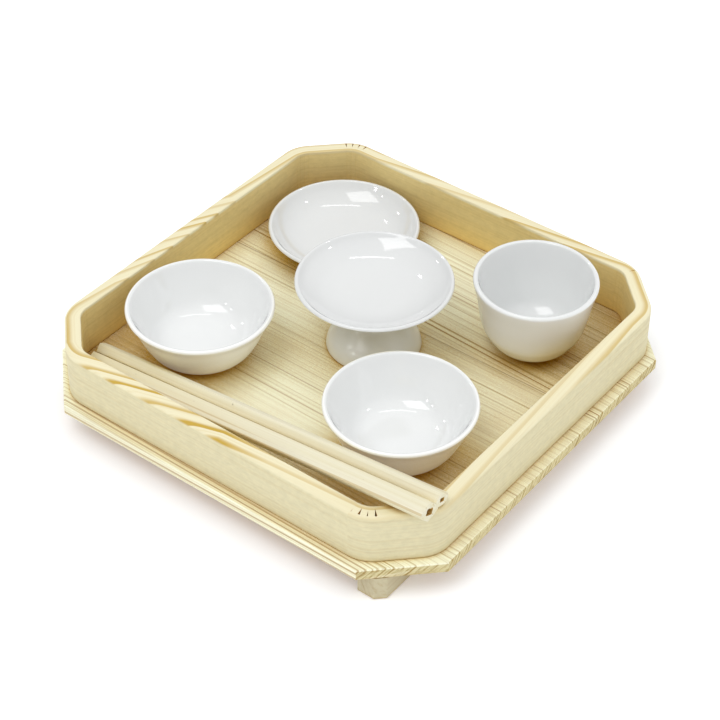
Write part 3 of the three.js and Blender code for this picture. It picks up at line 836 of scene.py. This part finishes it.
def turned(name, outline, bare, oval, materials):
    """A lathed piece from an outline of radius and height that starts and ends on the axis, a little out of round.

    Its materials are those of the inside, of the bare steps of the outline, and of the outside up to the lip.
    """
    points = []
    faces = []
    rings = []
    for index, (radius, height) in enumerate(outline):
        if index in (0, len(outline) - 1):
            rings.append([len(points)] * DISH_SEGMENTS)
            points.append((0.0, 0.0, height))
            continue
        start = len(points)
        for segment in range(DISH_SEGMENTS):
            angle = 2 * math.pi * segment / DISH_SEGMENTS
            wobble = 1 - DISH_WOBBLE_SHARE * (1 + math.sin(2 * angle + DISH_WOBBLE_TURN)) / 2
            wobble -= oval * math.sin(angle - CUP_LONG_AXIS) ** 2
            points.append((radius * wobble * math.cos(angle), radius * wobble * math.sin(angle), height))
        rings.append([start + segment for segment in range(DISH_SEGMENTS)])
    kinds = []
    lip_top = max(range(len(outline)), key=lambda index: outline[index][1])
    for index, (here, there) in enumerate(zip(rings, rings[1:])):
        for segment in range(DISH_SEGMENTS):
            following = (segment + 1) % DISH_SEGMENTS
            corners = dict.fromkeys((here[segment], here[following], there[following], there[segment]))
            faces.append(tuple(corners))
            kinds.append(1 if index in bare else 2 if index < lip_top else 0)
    made = new_mesh(name, points, faces, materials)
    made.data.polygons.foreach_set("material_index", kinds)
    return made


def lip_arc(radius, height, lip):
    arc = []
    for step in range(LIP_STEPS + 1):
        angle = LIP_TURN * step / LIP_STEPS
        arc.append((radius - lip + lip * math.cos(angle), height - lip + lip * math.sin(angle)))
    return arc


def dish(node, foot, outer, inner, lip, materials, oval=0.0):
    """A dish that stands for its CAD node, with bare porcelain where its foot meets the board."""
    low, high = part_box(node)
    radius = (high.x - low.x) / 2
    height = high.z - low.z
    sized = [[(r * radius, z * height) for r, z in part] for part in (foot, outer, inner)]
    foot_line, outer_line, inner_line = sized
    wall = curve_through([*outer_line, *lip_arc(radius, height, lip), *inner_line], CURVE_STEPS)
    outline = [*foot_line, *wall[1:]]
    outline[0] = (0.0, outline[0][1])
    outline[-1] = (0.0, outline[-1][1])
    ground = [index for index, (point, after) in enumerate(zip(outline, outline[1:]))
              if max(point[1], after[1]) < GROUND_REACH and point[0] > 0]
    made = turned(f"{node}_glazed", outline, set(ground), oval, materials)
    made.location = ((low.x + high.x) / 2, (low.y + high.y) / 2, low.z)
    dress(node, made, node)


def stick_axis(node, joint):
    """The two ends of a chopstick's axis and its radius, from the frame's joint and mesh."""
    axis = Vector(next(j["axis"] for j in frame["joints"] if j["name"] == joint)).normalized()
    points = [v.co.copy() for v in nodes[node].data.vertices]
    reach = [p.dot(axis) for p in points]
    ends = []
    for limit in (min(reach), max(reach)):
        ring = [p for p, r in zip(points, reach) if abs(r - limit) < STICK_END_REACH]
        ends.append(sum(ring, Vector()) / len(ring))
    radius = max((p - ends[1]).length for p, r in zip(points, reach) if abs(r - max(reach)) < STICK_END_REACH)
    return ends[0], ends[1], radius


def stalk_section(angle, share, flat, flats):
    """Share of the radius at an angle: soft flats, one of them facing the given way, ribs and one fine crease."""
    step = 2 * math.pi / flats
    turn = angle - flat - STICK_TWIST * share
    across = math.remainder(turn, step)
    polygon = math.cos(step / 2) / math.cos(across)
    ribs = STICK_RIB_SIZE * math.cos(STICK_RIBS * turn + STICK_RIB_START + STICK_RIB_TWIST * share)
    crease = -CREASE_SIZE * math.exp(-(math.remainder(turn - CREASE_TURN, 2 * math.pi) / CREASE_WIDTH) ** 2)
    return STICK_FLAT_SHARE * polygon + (1 - STICK_FLAT_SHARE) * STICK_ROUND_SIZE + ribs + crease


def bore_section(angle, share, flat):
    """Share of the bore's radius at an angle."""
    corners = BORE_CORNER_SIZE * math.cos(BORE_CORNERS * (angle - flat))
    return 1 + corners + BORE_RIB_SIZE * math.sin(BORE_RIBS * angle + BORE_TWIST * share)


def hemp_stick(side, bore, flat, flats, materials):
    """Hollow stalk along its own X axis, from its left end to its right one, with slanting cuts."""
    node = f"chopstick_{side}"
    body = f"{side}_chopstick"
    start, end, radius = stick_axis(node, f"{body}_draw")
    length = (end - start).length
    points = []
    faces = []
    kinds = []
    rings = []
    for inside in (False, True):
        for step in range(STICK_STEPS + 1):
            share = step / STICK_STEPS
            taper = 1 - STICK_TAPER * (1 - share)
            ring = []
            for index in range(STICK_AROUND):
                angle = 2 * math.pi * index / STICK_AROUND
                if inside:
                    size = bore * bore_section(angle, share, flat)
                else:
                    size = radius * stalk_section(angle, share, flat, flats)
                    if step in (0, STICK_STEPS):
                        size -= STICK_END_EASE
                away = (1 - math.cos(angle - BEND) * size / radius) / 2
                cut = STICK_SLANT_SHARES.get(step, 0.0) * away * STICK_SLANT
                ring.append(len(points))
                points.append((share * length + cut, size * taper * math.cos(angle), size * taper * math.sin(angle)))
            rings.append((inside, ring))
    outside = [ring for inside, ring in rings if not inside]
    inside = [ring for is_inside, ring in rings if is_inside]
    loop = outside + inside[::-1]
    for index, (here, there) in enumerate(zip(loop, loop[1:] + loop[:1])):
        in_bore = len(outside) <= index < len(loop) - 1
        for i in range(STICK_AROUND):
            j = (i + 1) % STICK_AROUND
            faces.append((here[i], there[i], there[j], here[j]))
            kinds.append(1 if in_bore else 0)
    made = new_mesh(f"{side}_stalk", points, faces, materials)
    made.data.polygons.foreach_set("material_index", kinds)
    made.data.set_sharp_from_angle(angle=STICK_SHARP)
    along = (end - start).normalized()
    side = Vector((0, 0, 1)).cross(along).normalized()
    turn = Matrix((along, side, along.cross(side))).transposed()
    made.matrix_world = Matrix.Translation(start) @ turn.to_4x4()
    dress(node, made, body)


def plain_node(node, material, ease):
    """A CAD node that stays, with its edges softened and its own material."""
    piece = nodes[node]
    piece.data.materials.clear()
    piece.data.materials.append(material)
    weld = piece.modifiers.new("weld", "WELD")
    weld.merge_threshold = WELD_REACH
    bevel = piece.modifiers.new("ease", "BEVEL")
    bevel.width = ease
    bevel.segments = EASE_SEGMENTS
    bevel.limit_method = "ANGLE"
    bevel.angle_limit = EASE_ANGLE
    bevel.harden_normals = True


def area_light(name, place, size, power, turn=0.0):
    """A white light that faces the middle of the ground, turned about its own axis."""
    data = bpy.data.lights.new(name, "AREA")
    data.shape = "RECTANGLE"
    data.size, data.size_y = size
    data.energy = power
    made = bpy.data.objects.new(name, data)
    made.location = place
    made.rotation_mode = "QUATERNION"
    made.rotation_quaternion = (-Vector(place)).to_track_quat("-Z", "Y") @ Quaternion((0, 0, 1), turn)
    bpy.context.scene.collection.objects.link(made)
    return made


def sky():
    """Soft light from all sides, strongest from one upper side."""
    world = bpy.data.worlds.new("studio")
    world.use_nodes = True
    tree = world.node_tree
    place = tree.nodes.new("ShaderNodeTexCoord")
    lean = tree.nodes.new("ShaderNodeVectorMath")
    lean.operation = "DOT_PRODUCT"
    lean.inputs[1].default_value = Vector(SKY_SIDE).normalized()
    tree.links.new(place.outputs["Generated"], lean.inputs[0])
    fade = tree.nodes.new("ShaderNodeMapRange")
    fade.interpolation_type = "SMOOTHSTEP"
    for socket, value in zip(fade.inputs[1:5], (*SKY_SPREAD, SKY_LOW, SKY_HIGH)):
        socket.default_value = value
    tree.links.new(lean.outputs["Value"], fade.inputs[0])
    back = tree.nodes["Background"]
    back.inputs["Color"].default_value = (1.0, 1.0, 1.0, 1.0)
    tree.links.new(fade.outputs[0], back.inputs["Strength"])
    bpy.context.scene.world = world


def stage():
    """Pale floor, sky and lights."""
    shader = Shader("floor")
    x, y, z = shader.place()
    cloud = shader.noise(shader.scaled(x, y, z, (3, 3, 3)))
    colour = shader.mix(cloud, *(srgb(*tone) for tone in FLOOR_TONES))
    material = shader.finish(
        colour, FLOOR_ROUGHNESS, Specular_IOR_Level=FLOOR_SHINE, Emission_Color=(1.0, 1.0, 1.0, 1.0),
        Emission_Strength=FLOOR_GLOW)
    corners = [(x * FLOOR_REACH, y * FLOOR_REACH, 0) for x, y in ((-1, -1), (1, -1), (1, 1), (-1, 1))]
    new_mesh("floor", corners, [(0, 1, 2, 3)], [material], smooth=False)
    sky()
    area_light("window", WINDOW_PLACE, WINDOW_SIZE, WINDOW_POWER, WINDOW_TURN)
    glints = [area_light("strip", STRIP_PLACE, STRIP_SIZE, STRIP_POWER, STRIP_TURN)]
    for index, way in enumerate(LAMP_WAYS):
        glints.append(area_light(f"lamp_{index}", Vector(way).normalized() * LAMP_DISTANCE, LAMP_SIZE, LAMP_POWER))
    for light in glints:
        light.visible_diffuse = False
    bpy.context.scene.view_settings.view_transform = "Standard"


def camera(board_top):
    """The photograph's camera, aimed at a point of the board's top."""
    forward = Vector((
        -math.sin(CAMERA_AZIMUTH) * math.cos(CAMERA_ELEVATION),
        math.cos(CAMERA_AZIMUTH) * math.cos(CAMERA_ELEVATION),
        -math.sin(CAMERA_ELEVATION)))
    level = Vector((math.cos(CAMERA_AZIMUTH), math.sin(CAMERA_AZIMUTH), 0))
    upright = level.cross(forward)
    right = level * math.cos(CAMERA_ROLL) + upright * math.sin(CAMERA_ROLL)
    up = upright * math.cos(CAMERA_ROLL) - level * math.sin(CAMERA_ROLL)
    target = Vector((*CAMERA_TARGET, board_top))
    data = bpy.data.cameras.new("camera")
    data.sensor_width = SENSOR
    data.lens = FOCAL_PIXELS / IMAGE_PIXELS * SENSOR
    made = bpy.data.objects.new("camera", data)
    made.matrix_world = Matrix.Translation(target - forward * CAMERA_DISTANCE) @ Matrix(
        (right, up, -forward)).transposed().to_4x4()
    bpy.context.scene.collection.objects.link(made)
    bpy.context.scene.camera = made


camera(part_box("base_board")[1].z)
stage()

bent_rim(rim_wood())
plain_node("base_board", board_wood(), EDGE_EASE)
feet = foot_wood()
for foot in ("foot_right", "foot_left"):
    plain_node(foot, feet, EDGE_EASE)
bamboo = peg_bamboo()
for node in nodes:
    if "peg" in node:
        plain_node(node, bamboo, PEG_EASE)

bare = bare_porcelain()
# the bowls' outsides get a painted glow of light
bowls = [
    glazed_porcelain("bowl_inside", BOWL_TONE), bare,
    glazed_porcelain("bowl_outside", BOWL_TONE, outside=True, painted_glow=BOWL_PAINTED_GLOW)]
cup = [
    glazed_porcelain("cup_inside", CUP_INSIDE_TONE), bare,
    glazed_porcelain("cup_outside", CUP_OUTSIDE_TONE, outside=True)]
plates = [
    glazed_porcelain("plate_top", PLATE_TONE), bare, glazed_porcelain("plate_underside", PLATE_TONE, outside=True)]
dish("rice_bowl", BOWL_FOOT, BOWL_OUTER, BOWL_INNER, BOWL_LIP, bowls)
dish("soup_bowl", BOWL_FOOT, BOWL_OUTER, BOWL_INNER, BOWL_LIP, bowls)
dish("deep_cup", CUP_FOOT, CUP_OUTER, CUP_INNER, CUP_LIP, cup, CUP_OVAL_SHARE)
dish("shallow_dish", DISH_FOOT, DISH_OUTER, DISH_INNER, PLATE_LIP, plates)
dish("stemmed_dish", (*STEM_HOLLOW, STEM_FOOT[0]), (*STEM_FOOT, *STEM_NECK), STEM_PLATE, PLATE_LIP, plates)

stalk = [hemp_stalk(), stalk_bore()]
hemp_stick("near", NEAR_BORE, NEAR_FLAT, NEAR_FLATS, stalk)
hemp_stick("far", FAR_BORE, FAR_FLAT, FAR_FLATS, stalk)
